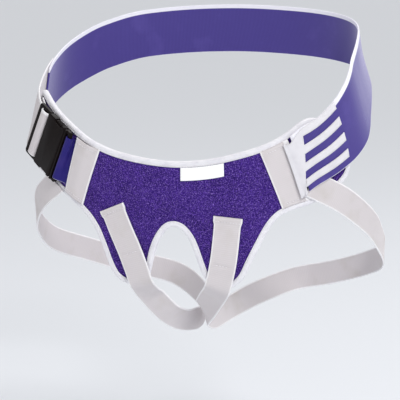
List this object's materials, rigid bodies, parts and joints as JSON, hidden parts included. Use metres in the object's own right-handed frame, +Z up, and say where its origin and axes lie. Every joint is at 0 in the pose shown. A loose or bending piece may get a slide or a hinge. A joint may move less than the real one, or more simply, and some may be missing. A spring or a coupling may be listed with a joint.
{
  "type": "hernia belt",
  "caption": "Worn inguinal hernia support: padded two-lobed front panel, elastic hip belt with side-release buckle, and webbing leg straps that pass between the legs.",
  "frame": {"origin": "on the wearer's body axis, in the middle of the torso, where the belt crosses the hips; the wearer's body is the mount", "axes": "+Z up along the torso, -Y towards the front of the wearer, +X towards the wearer's left (the viewer's right)"},
  "size_m": [0.3521, 0.2486, 0.3248],
  "materials": {
    "velour": "purple napped loop cloth over foam",
    "binding": "soft white folded tape",
    "webbing": "off-white woven webbing",
    "label": "plain white satin tape",
    "elastic": "purple woven elastic with a faint sheen",
    "loop": "deep violet woven elastic",
    "print": "white sewn tape",
    "buckle": "black moulded plastic, satin"
  },
  "bodies": {
    "root": {"front_panel": "velour", "edge_binding": "binding", "left_band": "webbing", "right_band": "webbing", "blank_label": "label", "left_leg_strap": "webbing", "right_leg_strap": "webbing", "back_belt": "elastic", "belt_end_comb": "print", "buckle_housing": "buckle", "buckle_tongue": "buckle", "buckle_loop": "loop", "belt_webbing": "webbing"}
  },
  "joints": []
}
